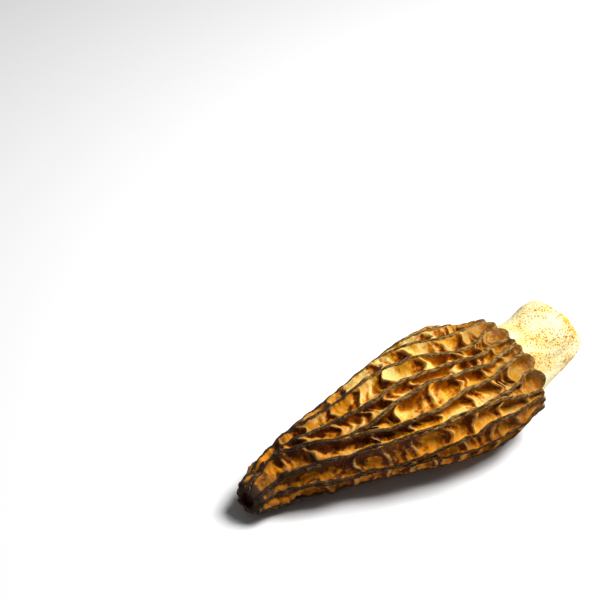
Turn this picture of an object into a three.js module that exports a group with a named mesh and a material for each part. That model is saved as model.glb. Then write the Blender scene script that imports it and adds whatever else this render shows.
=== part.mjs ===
// A dried morel mushroom lying on its side, as two grown-together pieces: the cap, a hollow cone
// covered in ribs with rows of pits between them, and the stem, a hollow, faintly folded stalk.
// Millimetres, +Z up. +X runs from the tip of the cap to the open end of the stem. The lowest
// ribs are pressed flat where they touch the ground, at z = 0.

import * as THREE from "three";

const { clamp, degToRad, lerp, smoothstep } = THREE.MathUtils;

// ---- cap: centre line and girth, at equal steps from the tip to the margin ----
const CAP_LENGTH = 58;
const TIP_X = -36.95;
const CAP_SIDE = [1.55, 2.05, 1.25, 0.65, 0.15, -0.05, -0.05, -0.05, 0.35];
const CAP_HEIGHT = [4.1, 5.5, 8, 9.7, 11.35, 12.35, 12.8, 12.65, 13.25];
const CAP_RADIUS = [3.7, 6.1, 7.9, 9.2, 11.3, 12.9, 13.9, 13.6, 11.6];
const HOOK_REACH = 0.12; // the part of the length over which the tip bends aside and up
const HOOK_SIDE = -1.2;
const HOOK_UP = 0.9;
const LINE_STEP = 0.01; // share of the length to either side that gives the line's direction

// ---- cap: ribs, and the furrows between them ----
// Width of each furrow in degrees of girth, at equal steps from the margin to FURROW_TABLE_END of
// the way to the tip. At 0 the two ribs beside it have run together.
const FURROWS = [
  [26, 0, 0, 0, 0], [9, 18, 31, 35, 32], [15, 23, 10, 0, 0], [20, 22, 26, 33, 36],
  [14, 0, 0, 0, 0], [23, 25, 28, 31, 34], [20, 23, 13, 0, 0], [18, 20, 24, 29, 35],
  [23, 26, 29, 25, 0], [19, 21, 24, 30, 38], [21, 18, 0, 0, 0], [20, 23, 26, 31, 42],
  [24, 27, 24, 12, 0], [17, 20, 0, 0, 0], [19, 21, 21, 20, 35], [15, 21, 27, 31, 30],
  [17, 11, 25, 31, 30], [9, 11, 15, 24, 0], [11, 12, 24, 0, 0], [20, 18, 13, 28, 48],
];
const FURROW_TABLE_END = 0.9;
const FIRST_RIB = [144, 152, 155, 149, 131]; // angle of the rib where the first furrow starts
const CLOSED_WIDTH = 1.2; // degrees left of a furrow that has closed
const JUNCTION_STRAY = 0.05; // how far along the cap a junction of ribs may stray, in lengths
const WIDTH_WAVE = 0.08; // how much a furrow widens and narrows in waves
const WIDTH_WAVES = 1.8; // waves from the margin to the tip
const RIB_THICKNESS = 0.75;
const MOST_RIB = 0.84; // the most of a closing furrow's width that is rib
const RIB_DIP = 0.4; // how much lower than the girth a rib may run
const DIP_WAVES = [2, 5]; // fewest and most waves of a rib from the margin to the tip
const PIT_DEPTH = 0.17; // share of the cap's radius
const MARGIN_DEPTH = 0.55; // share of that depth at the margin, growing to all of it by MARGIN_EASE
const MARGIN_EASE = 0.2;
const TIP_DEPTH = 0.4; // share of it at the net's end, shrinking from TIP_EASE on
const TIP_EASE = 0.85;
const DEPTH_PER_WIDTH = 1.05; // a narrow furrow is no deeper than this share of its width
const BOWL = 2; // power that rounds a furrow's floor up to its ribs

// ---- cap: low cross walls that part each furrow into pits ----
const PITS = 10; // pits in a furrow, from the margin to the tip
const NET_END = 0.955; // where the furrows stop, as a share of the way to the tip
const WALL_HEIGHT = [0.72, 1]; // lowest and highest, as shares of the depth
const SUNK_WALLS = 0.08; // share of the walls that are sunk nearly to the floor
const SUNK_HEIGHT = 0.12;
const FURROW_SHIFT = 0.62; // how far all walls of a furrow may move along it, in pits
const WALL_SHIFT = 0.31; // how far each may move by itself
const WALL_FOOT = 3; // power that rounds the floor up to a wall
const WALL_TILT = 3.6; // mm that a wall may slant across its furrow
const WALL_BOW = 2.6; // mm that its middle may bow along the furrow
const ACROSS = [-1, -0.62, 0, 0.62, 1]; // samples across a furrow, rib to rib
const ALONG = [0, 0.19, 0.5, 0.81]; // samples along a pit, wall to wall

// ---- cap: margin, tip and hollow ----
const SCALLOP = 0.32; // how far a furrow's end bulges, as a share of its width
const SLANT = 2.2; // mm by which the margin runs ahead on one side and hangs back on the other
const SLANT_ANGLE = 215; // degrees of girth where it is furthest ahead
const SLANT_REACH = 0.35; // share of the length that follows it
const LIP_THICKNESS = 0.9;
const LIP_LEAD = 0.15; // mm that its inner edge runs ahead of its outer edge
// Rings of the rounded tip and of the small pit in it: mm ahead of the centre line's end, radius
const NUB = [[0.6, 3.75], [-0.5, 3.4], [-1.4, 2.65], [-1.7, 2.05], [-1.45, 1.6], [-0.5, 1.25]];
const NUB_PIT_FLOOR = -0.35;
const HOLLOW = [0.13, 0.16, 0.24, 0.36, 0.48, 0.6, 0.72, 0.84, 0.905]; // rings of it, tip to margin
const HOLLOW_WALL = 1.2; // least flesh between a wide furrow's floor and the hollow
const WIDE_FURROW = 9;
const BLIND_GIRTH = 0.45; // the hollow's first ring is this share of its girth, and closes in a dome
const BLIND_DOME = 1.2;
const SOCKET_FLOOR = 0.5; // mm left beyond the stem's root
const THROAT = 0.3; // mm from the cap's margin back to the socket's edge
const PLAIN_SIDES = 24;

// ---- stem ----
const STEM_ROOT = 4.2; // length inside the cap's mouth
const STEM_GAP = 0.32;
const STEM_END = [14.8, 2.6, 5]; // from the cap's margin to the middle of the open end
const STEM_BEND = 6; // how far it runs on straight before it bends
const STEM_RADIUS = [8.85, 8.7, 8.2, 7.8, 7.6, 7.6, 7.5, 6.8];
const STEM_WALL = 1.4;
const STEM_FOLD = 0.28; // depth of its lengthwise folds
const STEM_FOLDS = [[3, 0.6, 0], [5, 2, 0.9]]; // folds round it, turn of the first one, twist
const FOLD_EASE = 0.35; // share of the free length over which they grow to their depth
const STEM_SIDES = 36;
const STEM_ROWS = 12;
const RIM_START = 0.97; // share of the free length where the rounded rim of the open end starts
const RIM = [[0.2, 0.1], [0.75, 0.1]]; // share of the wall's thickness in from the skin, mm ahead
const STEM_BORE = [0.96, 0.75, 0.5, 0.25, 0]; // rings of the stem's hollow

// ---- chance: any uneven numbers do here, and other ones grow another mushroom ----
const TRAIT_STEP = 12.9898;
const PLACE_STEPS = [78.233, 37.719];
const SCATTER = 43758.5453;

// A number between 0 and 1 that looks random, and is always the same for a trait and its place
function chance(trait, ...places) {
  const letters = [...trait].map((letter) => letter.charCodeAt(0));
  const word = letters.reduce((sum, code, k) => sum + (k + 1) * code, 0);
  const seed = places.reduce((sum, place, k) => sum + PLACE_STEPS[k] * place, TRAIT_STEP * word);
  const scattered = SCATTER * Math.sin(seed);
  return scattered - Math.floor(scattered);
}

// A smooth curve through equally spaced values, read at a share from 0 to 1
function curveThrough(values) {
  const curve = new THREE.SplineCurve(values.map((value, k) => new THREE.Vector2(k, value)));
  return (share) => curve.getPoint(clamp(share, 0, 1)).y;
}

const capSide = curveThrough(CAP_SIDE);
const capHeight = curveThrough(CAP_HEIGHT);
const capRadius = curveThrough(CAP_RADIUS);
const firstRib = curveThrough(FIRST_RIB);
const furrowWidths = FURROWS.map(curveThrough);

// Middle of the cap, at a share of the way from its tip to its margin
function capCentre(share) {
  const hook = Math.max(0, 1 - share / HOOK_REACH) ** 2;
  return new THREE.Vector3(
    TIP_X + CAP_LENGTH * share,
    capSide(share) + HOOK_SIDE * hook,
    capHeight(share) + HOOK_UP * hook,
  );
}

// Directions at a place on a centre line: onward, level to the side, and up
function directions(onward) {
  const side = new THREE.Vector3(0, 0, 1).cross(onward).normalize();
  const lift = onward.clone().cross(side);
  return { onward, side, lift };
}

function capDirections(share) {
  const from = capCentre(Math.max(0, share - LINE_STEP));
  const to = capCentre(Math.min(1, share + LINE_STEP));
  return directions(to.sub(from).normalize());
}

// A point round a centre, moved onward by advance, and never under the ground
function pointRound(centre, way, angle, radius, advance) {
  const point = centre.clone().addScaledVector(way.onward, advance);
  point.addScaledVector(way.side, radius * Math.cos(angle));
  point.addScaledVector(way.lift, radius * Math.sin(angle));
  point.z = Math.max(0, point.z);
  return point;
}

// How far the margin runs ahead at an angle, fading out towards the tip
function slant(angle, u) {
  const fade = 1 - smoothstep(u, 0, SLANT_REACH);
  return SLANT * Math.cos(angle - degToRad(SLANT_ANGLE)) * fade;
}

// Angles of all ribs at u, the share of the way from the margin to the tip; the last closes the turn
function ribAngles(u) {
  const widths = furrowWidths.map((width, i) => {
    const moved = u + JUNCTION_STRAY * (chance("junction", i) - 0.5);
    const wave = Math.sin(2 * Math.PI * (WIDTH_WAVES * u + chance("width", i)));
    return Math.max(CLOSED_WIDTH, width(moved / FURROW_TABLE_END)) * (1 + WIDTH_WAVE * wave);
  });
  const total = widths.reduce((sum, width) => sum + width, 0);
  const angles = [degToRad(firstRib(u / FURROW_TABLE_END))];
  for (const width of widths) {
    angles.push(angles[angles.length - 1] + (2 * Math.PI * width) / total);
  }
  return angles;
}

// How far a rib's crest runs under the full girth
function ribDip(rib, u) {
  const own = rib % FURROWS.length;
  const waves = lerp(...DIP_WAVES, chance("dip waves", own));
  const wave = 0.5 + 0.5 * Math.sin(2 * Math.PI * (waves * u + chance("dip phase", own)));
  return (RIB_DIP * (chance("dip", own) + wave)) / 2;
}

// Place of a cross wall in its furrow, from 0 at the margin to 1 at the last wall
function wallPlace(furrow, wall) {
  if (wall === 0 || wall === PITS) return wall / PITS;
  const shared = FURROW_SHIFT * (chance("furrow shift", furrow) - 0.5);
  const own = WALL_SHIFT * (chance("wall shift", furrow, wall) - 0.5);
  return (wall + shared + own) / PITS;
}

function wallHeight(furrow, wall) {
  if (wall === 0) return 1;
  const draw = chance("wall height", furrow, wall);
  return draw < SUNK_WALLS ? SUNK_HEIGHT : lerp(...WALL_HEIGHT, draw);
}

function wallTilt(furrow, wall) {
  if (wall === 0 || wall === PITS) return 0;
  return (WALL_TILT * (chance("wall tilt", furrow, wall) - 0.5)) / CAP_LENGTH;
}

function wallBow(furrow, wall) {
  if (wall === 0 || wall === PITS) return 0;
  return (WALL_BOW * (chance("wall bow", furrow, wall) - 0.5)) / CAP_LENGTH;
}

// Depth of a furrow's floor under its ribs, before its cross walls
function furrowDepth(width, u) {
  const fromMargin = lerp(MARGIN_DEPTH, 1, smoothstep(u, 0, MARGIN_EASE));
  const toTip = lerp(1, TIP_DEPTH, smoothstep(u, TIP_EASE, NET_END));
  const room = DEPTH_PER_WIDTH * Math.max(0, width - RIB_THICKNESS);
  return Math.min(PIT_DEPTH * capRadius(1 - u) * fromMargin * toTip, room);
}

// A point of the cap's skin: in a pit of a furrow, x from -1 to 1 across it and s from 0 to 1
// along it, towards the tip
function netPoint(furrow, pit, x, s) {
  const between = (trait) => lerp(trait(furrow, pit), trait(furrow, pit + 1), s);
  const bow = between(wallBow) * (1 - x * x);
  const u = NET_END * between(wallPlace) + 0.5 * x * between(wallTilt) + bow;
  const share = 1 - u;
  const angles = ribAngles(u);
  const turn = angles[furrow + 1] - angles[furrow];
  const width = turn * capRadius(share);
  const open = 1 - Math.min(MOST_RIB, RIB_THICKNESS / width);
  const angle = angles[furrow] + turn * (0.5 + 0.5 * x * open);
  const height = wallHeight(furrow, s < 0.5 ? pit : pit + 1);
  const acrossIt = 1 - Math.abs(x) ** BOWL;
  const alongIt = 1 - height * Math.abs(2 * s - 1) ** WALL_FOOT;
  const dip = lerp(ribDip(furrow, u), ribDip(furrow + 1, u), 0.5 + 0.5 * x);
  const radius = capRadius(share) - dip - furrowDepth(width, u) * acrossIt * alongIt;
  const atMargin = pit === 0 && s === 0;
  const bulge = atMargin ? SCALLOP * width * open * (1 - x * x) : 0;
  return pointRound(capCentre(share), capDirections(share), angle, radius, bulge + slant(angle, u));
}

// Closed ring of skin points, all round the cap, at one sample of one row of pits
function netRing(pit, s) {
  return FURROWS.flatMap((_, furrow) => ACROSS.map((x) => netPoint(furrow, pit, x, s)));
}

// The margin's lip, turned under: the same ring moved in towards the stem
function lipRing(rim) {
  const centre = capCentre(1);
  const { onward } = capDirections(1);
  return rim.map((point) => {
    const ahead = point.clone().sub(centre).dot(onward);
    const axis = centre.clone().addScaledVector(onward, ahead);
    const inward = axis.sub(point).setLength(LIP_THICKNESS);
    return point.clone().add(inward).addScaledVector(onward, LIP_LEAD);
  });
}

// Ring without ribs; slanted is 1 where it follows the margin
function plainRing(centre, way, radius, advance, slanted = 0) {
  const ring = [];
  for (let k = 0; k < PLAIN_SIDES; k += 1) {
    const angle = (2 * Math.PI * k) / PLAIN_SIDES;
    ring.push(pointRound(centre, way, angle, radius, advance + slanted * slant(angle, 0)));
  }
  return ring;
}

// ---- closed skins made of rings ----

class Skin {
  constructor() {
    this.places = [];
    this.faces = [];
  }

  add(point) {
    this.places.push(point.x, point.y, point.z);
    return this.places.length / 3 - 1;
  }

  ring(points) {
    return points.map((point) => this.add(point));
  }

  at(index) {
    return new THREE.Vector3().fromArray(this.places, 3 * index);
  }

  gap(a, b) {
    return this.at(a).distanceToSquared(this.at(b));
  }

  // joins two rings of the same count, each four-sided field split along its shorter diagonal
  join(a, b) {
    a.forEach((from, k) => {
      const next = (k + 1) % a.length;
      if (this.gap(from, b[next]) < this.gap(a[next], b[k])) {
        this.faces.push(from, b[next], a[next], from, b[k], b[next]);
      } else {
        this.faces.push(from, b[k], a[next], a[next], b[k], b[next]);
      }
    });
  }

  joinAll(rings) {
    rings.slice(1).forEach((ring, k) => this.join(rings[k], ring));
  }

  // joins two rings of different counts, always taking the shorter next edge
  zip(a, b) {
    const gaps = b.map((there) => this.gap(a[0], there));
    const near = gaps.indexOf(Math.min(...gaps));
    let i = 0;
    let j = 0;
    while (i < a.length || j < b.length) {
      const here = a[i % a.length];
      const there = b[(j + near) % b.length];
      const nextHere = a[(i + 1) % a.length];
      const nextThere = b[(j + 1 + near) % b.length];
      const shorter = this.gap(nextHere, there) < this.gap(here, nextThere);
      if (j >= b.length || (i < a.length && shorter)) {
        this.faces.push(here, there, nextHere);
        i += 1;
      } else {
        this.faces.push(here, there, nextThere);
        j += 1;
      }
    }
  }

  close(ring, point) {
    const tip = this.add(point);
    ring.forEach((from, k) => this.faces.push(from, tip, ring[(k + 1) % ring.length]));
  }

  mesh(name, material) {
    const geometry = new THREE.BufferGeometry();
    geometry.setAttribute("position", new THREE.Float32BufferAttribute(this.places, 3));
    geometry.setIndex(this.faces);
    geometry.computeVertexNormals();
    const mesh = new THREE.Mesh(geometry, material);
    mesh.name = name;
    return mesh;
  }
}

// The hollow, from its blind end to the socket where the stem grows out; returns its last ring
function makeHollow(skin) {
  const rings = HOLLOW.map((share, k) => {
    const flesh = RIB_DIP + furrowDepth(WIDE_FURROW, 1 - share) + HOLLOW_WALL;
    const girth = (capRadius(share) - flesh) * (k === 0 ? BLIND_GIRTH : 1);
    return skin.ring(plainRing(capCentre(share), capDirections(share), girth, 0));
  });
  const base = capCentre(1);
  const way = capDirections(1);
  const mouth = STEM_RADIUS[0] + STEM_GAP;
  rings.push(skin.ring(plainRing(base, way, mouth, -STEM_ROOT - SOCKET_FLOOR)));
  rings.push(skin.ring(plainRing(base, way, mouth, -THROAT, 1)));
  skin.joinAll(rings);
  const blind = pointRound(capCentre(HOLLOW[0]), capDirections(HOLLOW[0]), 0, 0, -BLIND_DOME);
  skin.close([...rings[0]].reverse(), blind);
  return rings[rings.length - 1];
}

// The net of ribs, walls and pits, from the margin's ring to the tip; returns its last ring
function makeNet(skin, margin) {
  const rings = [margin];
  for (let pit = 0; pit < PITS; pit += 1) {
    const samples = pit === 0 ? ALONG.slice(1) : ALONG;
    rings.push(...samples.map((s) => skin.ring(netRing(pit, s))));
  }
  rings.push(skin.ring(netRing(PITS - 1, 1)));
  skin.joinAll(rings);
  return rings[rings.length - 1];
}

// The rounded tip and its pit
function makeNub(skin, netEnd) {
  const tip = capCentre(0);
  const way = capDirections(0);
  const rings = NUB.map(([advance, radius]) => skin.ring(plainRing(tip, way, radius, advance)));
  skin.zip(netEnd, rings[0]);
  skin.joinAll(rings);
  skin.close(rings[rings.length - 1], pointRound(tip, way, 0, 0, NUB_PIT_FLOOR));
}

function makeCap() {
  const skin = new Skin();
  const throat = makeHollow(skin);
  const marginPoints = netRing(0, 0);
  const lip = skin.ring(lipRing(marginPoints));
  const margin = skin.ring(marginPoints);
  skin.zip(throat, lip);
  skin.join(lip, margin);
  makeNub(skin, makeNet(skin, margin));
  const flesh = new THREE.MeshStandardMaterial({ color: 0x7a5228, roughness: 0.72, metalness: 0 });
  return skin.mesh("cap", flesh);
}

// ---- stem ----

const stemRadius = curveThrough(STEM_RADIUS);

// Its centre line: straight inside the cap, then a bend up to the open end
function stemLine() {
  const base = capCentre(1);
  const { onward } = capDirections(1);
  const bend = base.clone().addScaledVector(onward, STEM_BEND);
  const end = base.clone().add(new THREE.Vector3(...STEM_END));
  return new THREE.QuadraticBezierCurve3(base, bend, end);
}

// Rings of the free part, inset from the skin by the wall's thickness for the hollow
function stemRing(line, share, inset, advance) {
  const centre = line.getPoint(share);
  const way = directions(line.getTangent(share));
  const depth = STEM_FOLD * smoothstep(share, 0, FOLD_EASE);
  const ring = [];
  for (let k = 0; k < STEM_SIDES; k += 1) {
    const angle = (2 * Math.PI * k) / STEM_SIDES;
    const waves = STEM_FOLDS.map(([count, turn, twist]) => {
      return Math.cos(count * angle + turn - twist * share);
    });
    const radius = stemRadius(share) + depth * (waves[0] + waves[1]) - inset;
    ring.push(pointRound(centre, way, angle, radius, advance));
  }
  return ring;
}

// Its root in the cap, out along the skin, over the rounded rim and back through the hollow
function makeStem() {
  const skin = new Skin();
  const line = stemLine();
  const rings = [STEM_ROOT, STEM_ROOT / 2].map((back) => stemRing(line, 0, 0, -back));
  for (let row = 0; row <= STEM_ROWS; row += 1) {
    rings.push(stemRing(line, (RIM_START * row) / STEM_ROWS, 0, 0));
  }
  rings.push(...RIM.map(([inset, ahead]) => stemRing(line, 1, inset * STEM_WALL, ahead)));
  rings.push(...STEM_BORE.map((share) => stemRing(line, share, STEM_WALL, 0)));
  rings.push(stemRing(line, 0, STEM_WALL, -STEM_ROOT));
  const tube = rings.map((ring) => skin.ring(ring)).reverse();
  skin.joinAll([...tube, tube[0]]);
  const flesh = new THREE.MeshStandardMaterial({ color: 0xf0e2b4, roughness: 0.85, metalness: 0 });
  return skin.mesh("stem", flesh);
}

const morel = new THREE.Group();
morel.add(makeCap(), makeStem());

export default morel;
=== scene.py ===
"""Looks of a dried morel mushroom lying on its side: a ribbed, pitted cap grown on a short pale
stem. The solids and this script grow from the same few sizes; here each skin is finer, and has
its wrinkles, grain and colours. Sizes are in millimetres until a mesh is made, and shares are
parts of 1. In the cap, share runs from 0 at the tip to 1 at the margin, and u the other way."""

import math

import bpy
import numpy as np
from mathutils import Matrix, Vector, noise


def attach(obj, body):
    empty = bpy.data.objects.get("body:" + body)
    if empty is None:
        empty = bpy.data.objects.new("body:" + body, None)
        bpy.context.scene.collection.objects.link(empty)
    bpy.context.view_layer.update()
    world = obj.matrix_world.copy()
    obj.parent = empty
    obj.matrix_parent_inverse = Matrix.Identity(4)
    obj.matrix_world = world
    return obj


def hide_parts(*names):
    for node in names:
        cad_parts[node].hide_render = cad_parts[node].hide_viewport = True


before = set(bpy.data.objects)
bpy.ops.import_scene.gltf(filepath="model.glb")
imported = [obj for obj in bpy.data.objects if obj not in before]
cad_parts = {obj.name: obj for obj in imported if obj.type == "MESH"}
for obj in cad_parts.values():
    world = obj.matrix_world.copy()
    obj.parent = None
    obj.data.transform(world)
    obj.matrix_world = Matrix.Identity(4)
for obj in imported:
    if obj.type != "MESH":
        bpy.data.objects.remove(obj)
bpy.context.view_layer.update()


# ---- cap ---------------------------------------------------------------------------------------
# The hollow, cone-shaped head of the mushroom: one skin of waxy flesh, about 1 mm thick, that
# grew in ribs with rows of pits between them. It dried golden in the pits and nearly black on
# the ribs, and it is grown to the stem inside its mouth.

MM = 0.001  # in metres

# Centre line and girth, at equal steps from the tip to the margin
CAP_LENGTH = 58
TIP_X = -36.95
CAP_SIDE = [1.55, 2.05, 1.25, 0.65, 0.15, -0.05, -0.05, -0.05, 0.35]
CAP_HEIGHT = [4.1, 5.5, 8, 9.7, 11.35, 12.35, 12.8, 12.65, 13.25]
CAP_RADIUS = [3.7, 6.1, 7.9, 9.2, 11.3, 12.9, 13.9, 13.6, 11.6]
CAP_TOP = 26  # about the height of its highest ribs
HOOK_REACH = 0.12  # share of the length over which the tip bends aside and up
HOOK_SIDE = -1.2
HOOK_UP = 0.9
LINE_STEP = 0.01  # share of the length to either side that gives the line's direction

# Width of each furrow in degrees of girth, at equal steps from the margin to FURROW_TABLE_END of
# the way to the tip. At 0 the two ribs beside it have run together.
FURROWS = np.array([
    [26, 0, 0, 0, 0], [9, 18, 31, 35, 32], [15, 23, 10, 0, 0], [20, 22, 26, 33, 36],
    [14, 0, 0, 0, 0], [23, 25, 28, 31, 34], [20, 23, 13, 0, 0], [18, 20, 24, 29, 35],
    [23, 26, 29, 25, 0], [19, 21, 24, 30, 38], [21, 18, 0, 0, 0], [20, 23, 26, 31, 42],
    [24, 27, 24, 12, 0], [17, 20, 0, 0, 0], [19, 21, 21, 20, 35], [15, 21, 27, 31, 30],
    [17, 11, 25, 31, 30], [9, 11, 15, 24, 0], [11, 12, 24, 0, 0], [20, 18, 13, 28, 48],
])
FURROW_TABLE_END = 0.9
FIRST_RIB = [144, 152, 155, 149, 131]  # angle of the rib where the first furrow starts
CLOSED_WIDTH = 1.2  # degrees left of a furrow that has closed
JUNCTION_STRAY = 0.05  # how far along the cap a junction of ribs may stray, in lengths
WIDTH_WAVE = 0.08  # how much a furrow widens and narrows in waves
WIDTH_WAVES = 1.8  # waves from the margin to the tip
RIB_THICKNESS = 0.75
BLADE_THICKNESS = 0.5  # of the rib under its crest
BLADE_EDGE = 0.82  # where it thickens into the crest: a furrow's middle is at 0, its rib at 1
CREST_EDGE = 0.86  # where the crest's dark skin begins, counted in the same way
CREST_SWELL = 0.14  # how much a crest is rounded up
MOST_RIB = 0.84  # the most of a closing furrow's width that is rib
RIB_DIP = 0.4  # how much lower than the girth a rib may run
DIP_WAVES = [2, 5]  # fewest and most waves of a rib from the margin to the tip
RIB_WIGGLE = 0.28  # how far a rib may stray to either side, in slow and quick bends
SLOW_SHARE = 0.7
SLOW_BENDS = [5, 8]  # fewest and most
QUICK_SHARE = 0.3
QUICK_BENDS = [13, 18]
PIT_DEPTH = 0.17  # share of the cap's radius
FINE_DEPTH = 1.05  # how many times deeper the fine skin dips than the solid's facets do
FINE_EASE = [0.08, 0.2]  # shares of the way to the tip over which it comes to that
DEPTH_RANGE = [0.85, 1.1]  # shallowest and deepest pit, as shares of the usual depth
MARGIN_DEPTH = 0.55  # share of the depth at the margin, growing to all of it by MARGIN_EASE
MARGIN_EASE = 0.2
TIP_DEPTH = 0.4  # share of it at the net's end, shrinking from TIP_EASE on
TIP_EASE = 0.85
DEPTH_PER_WIDTH = 1.05  # a narrow furrow is no deeper than this share of its width
BOWL = 2  # power that rounds a pit's floor up to its ribs and walls

# Cross walls, which part each furrow into pits
PITS = 10  # in a furrow, from the margin to the tip
NET_END = 0.955  # where the furrows stop, as a share of the way to the tip
WALL_HEIGHT = [0.72, 1]  # lowest and highest, as shares of the depth
SUNK_WALLS = 0.08  # share of the walls that are sunk nearly to the floor
SUNK_HEIGHT = 0.12
FURROW_SHIFT = 0.62  # how far all walls of a furrow may move along it, in pits
WALL_SHIFT = 0.31  # how far each may move by itself
WALL_TILT = 3.6  # how far a wall may slant across its furrow
WALL_BOW = 2.6  # how far its middle may bow along the furrow
WALL_WAVER = 0.35  # how far it wavers between the ribs
WAVER_BEND = 3.1  # radians of that wave from a furrow's middle to its rib
WAVER_STARTS = 6.3  # radians that the wave's start is drawn from
WALL_THICKNESS = 0.8
WALL_SLOPE = 1.5  # power that rounds a wall's crest

# Half-grown folds, which cross the pits between the walls
FOLD_PLACES = [0.32, 0.66]  # their usual places, as shares of the pit's length
FOLD_STRAY = 0.16  # how much of that length they may stray over
FOLD_LEAN = 0.1  # share of that length from a fold's middle on to one end and back to the other
FOLDS_MISSING = 0.4  # share of the places where none grew
MOST_FOLD = 0.6  # height of a fold drawn at 1, as a share of the depth
LOW_FOLD = 0.4  # height of one drawn at 0, as a share of that
FOLD_DROP = 0.3  # share of its height that it loses from the far end to the middle, and then again
FOLD_WIDTH = 0.075  # of half a fold, as a share of the pit's length
FOLD_WANE = [0.4, 0.75]  # shares of the way to the tip over which folds sink to LATE_FOLD
LATE_FOLD = 0.4
FOLD_SHOW = 1.2  # how much more painted highlight a fold puts on the flesh than a wall of its height does
RIDGE_WIDTH = 0.34  # of half the painted highlight along a wall's or fold's crest
RIDGE_END = [0.88, 0.94]  # shares of the way to the tip over which that line dies out
NOOK_REACH = 1.8  # how far the painted shadow in a nook reaches beyond a wall or fold
WALL_NOOK = [0.08, 0.3]  # shares of that reach where the painted shadow begins and is full
FOLD_NOOK = [0.02, 0.3]

# Margin
SCALLOP = 0.32  # how far a furrow's end bulges, as a share of its width
SCALLOP_REACH = 0.9  # how far from the margin that lasts
SLANT = 2.2  # how far the margin runs ahead on one side and hangs back on the other
SLANT_ANGLE = 215  # degrees of girth where it is furthest ahead
SLANT_REACH = 0.35  # share of the length that follows it

# Heights of the bumps of the dried flesh
PIT_LUMPS = 0.5
PIT_PUCKERS = 0.24
PIT_CREASES = 0.07
CREST_LUMPS = 0.24
CREST_CREASES = 0.05
GRAIN_BUMPS = 0.035
DRIEST = [0.6, 0.95]  # shares of the way to the tip over which bumps grow by DRIEST_BUMPS
DRIEST_BUMPS = 0.9
BUMPS_START = [-0.001, 0.02]  # shares of that way over which they grow up behind the margin

# Any uneven numbers do here, if the solids have them too: other ones grow another mushroom
TRAIT_STEP = 12.9898
PLACE_STEPS = [78.233, 37.719]
SCATTER = 43758.5453


def chance(trait, *places):
    """Looks random from 0 to 1, and is always the same for a trait and its place."""
    word = sum((k + 1) * ord(letter) for k, letter in enumerate(trait))
    seed = TRAIT_STEP * word
    for step, place in zip(PLACE_STEPS, places):
        seed = seed + step * place
    scattered = SCATTER * np.sin(seed)
    return scattered - np.floor(scattered)


def curve_through(values, share):
    """A smooth curve through equally spaced values, read at shares from 0 to 1."""
    values = np.asarray(values, float)
    last = len(values) - 1
    place = np.clip(share, 0, 1) * last
    start = np.minimum(place.astype(int), last - 1)
    t = place - start
    before, here, there, after = [
        values[np.clip(start + step, 0, last)] for step in (-1, 0, 1, 2)
    ]
    leave = (there - before) / 2
    arrive = (after - here) / 2
    cubic = 2 * here - 2 * there + leave + arrive
    square = -3 * here + 3 * there - 2 * leave - arrive
    return ((cubic * t + square) * t + leave) * t + here


def smooth(value, low, high):
    """Rises from 0 at low to 1 at high, level at both ends."""
    t = np.clip((value - low) / (high - low), 0, 1)
    return t * t * (3 - 2 * t)


def mix(a, b, t):
    """From a to b as t goes from 0 to 1."""
    return a + (b - a) * t


def unit(vectors):
    return vectors / np.linalg.norm(vectors, axis=-1, keepdims=True)


def cap_centre(share):
    """Middle of the cap, at a share of the way from its tip to its margin."""
    hook = np.maximum(0, 1 - share / HOOK_REACH) ** 2
    return np.stack([
        TIP_X + CAP_LENGTH * share,
        curve_through(CAP_SIDE, share) + HOOK_SIDE * hook,
        curve_through(CAP_HEIGHT, share) + HOOK_UP * hook,
    ], axis=-1)


def points_round(centre, onward, angle, radius, advance):
    """Points round a centre line, level side first, moved onward, and never under the ground."""
    side = unit(np.cross([0.0, 0.0, 1.0], onward))
    lift = np.cross(onward, side)
    across = side * np.cos(angle)[..., None] + lift * np.sin(angle)[..., None]
    points = centre + onward * np.asarray(advance)[..., None] + across * radius[..., None]
    points[..., 2] = np.maximum(0, points[..., 2])
    return points


def cap_points(share, angle, radius, advance):
    """Points round the cap's centre line."""
    ahead = cap_centre(np.minimum(1, share + LINE_STEP))
    behind = cap_centre(np.maximum(0, share - LINE_STEP))
    return points_round(cap_centre(share), unit(ahead - behind), angle, radius, advance)


def slant(angle, u):
    """How far the slanting margin carries the flesh ahead of its own ring."""
    return SLANT * np.cos(angle - math.radians(SLANT_ANGLE)) * (1 - smooth(u, 0, SLANT_REACH))


def rib_angles(u):
    """Angles of all ribs at u."""
    count = len(FURROWS)
    widths = []
    for i in range(count):
        moved = u + JUNCTION_STRAY * (chance("junction", i) - 0.5)
        wave = np.sin(2 * np.pi * (WIDTH_WAVES * u + chance("width", i)))
        width = np.maximum(CLOSED_WIDTH, curve_through(FURROWS[i], moved / FURROW_TABLE_END))
        widths.append(width * (1 + WIDTH_WAVE * wave))
    turns = np.cumsum([np.zeros_like(u)] + widths, axis=0)
    first = np.radians(curve_through(FIRST_RIB, u / FURROW_TABLE_END))
    return first + 2 * np.pi * turns / turns[-1]


def rib_dip(rib, u):
    """How much lower than the girth a rib runs at u."""
    own = rib % len(FURROWS)
    waves = mix(*DIP_WAVES, chance("dip waves", own))
    wave = 0.5 + 0.5 * np.sin(2 * np.pi * (waves * u + chance("dip phase", own)))
    return RIB_DIP * (chance("dip", own) + wave) / 2


def rib_wiggle(rib, u):
    """How far a rib strays round the girth at u."""
    own = rib % len(FURROWS)
    slow = mix(*SLOW_BENDS, chance("wiggles", own)) * u + chance("wiggle", own)
    quick = mix(*QUICK_BENDS, chance("quivers", own)) * u + chance("quiver", own)
    slow_bend = SLOW_SHARE * np.sin(2 * np.pi * slow)
    quick_bend = QUICK_SHARE * np.sin(2 * np.pi * quick)
    return RIB_WIGGLE * (slow_bend + quick_bend)


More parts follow.
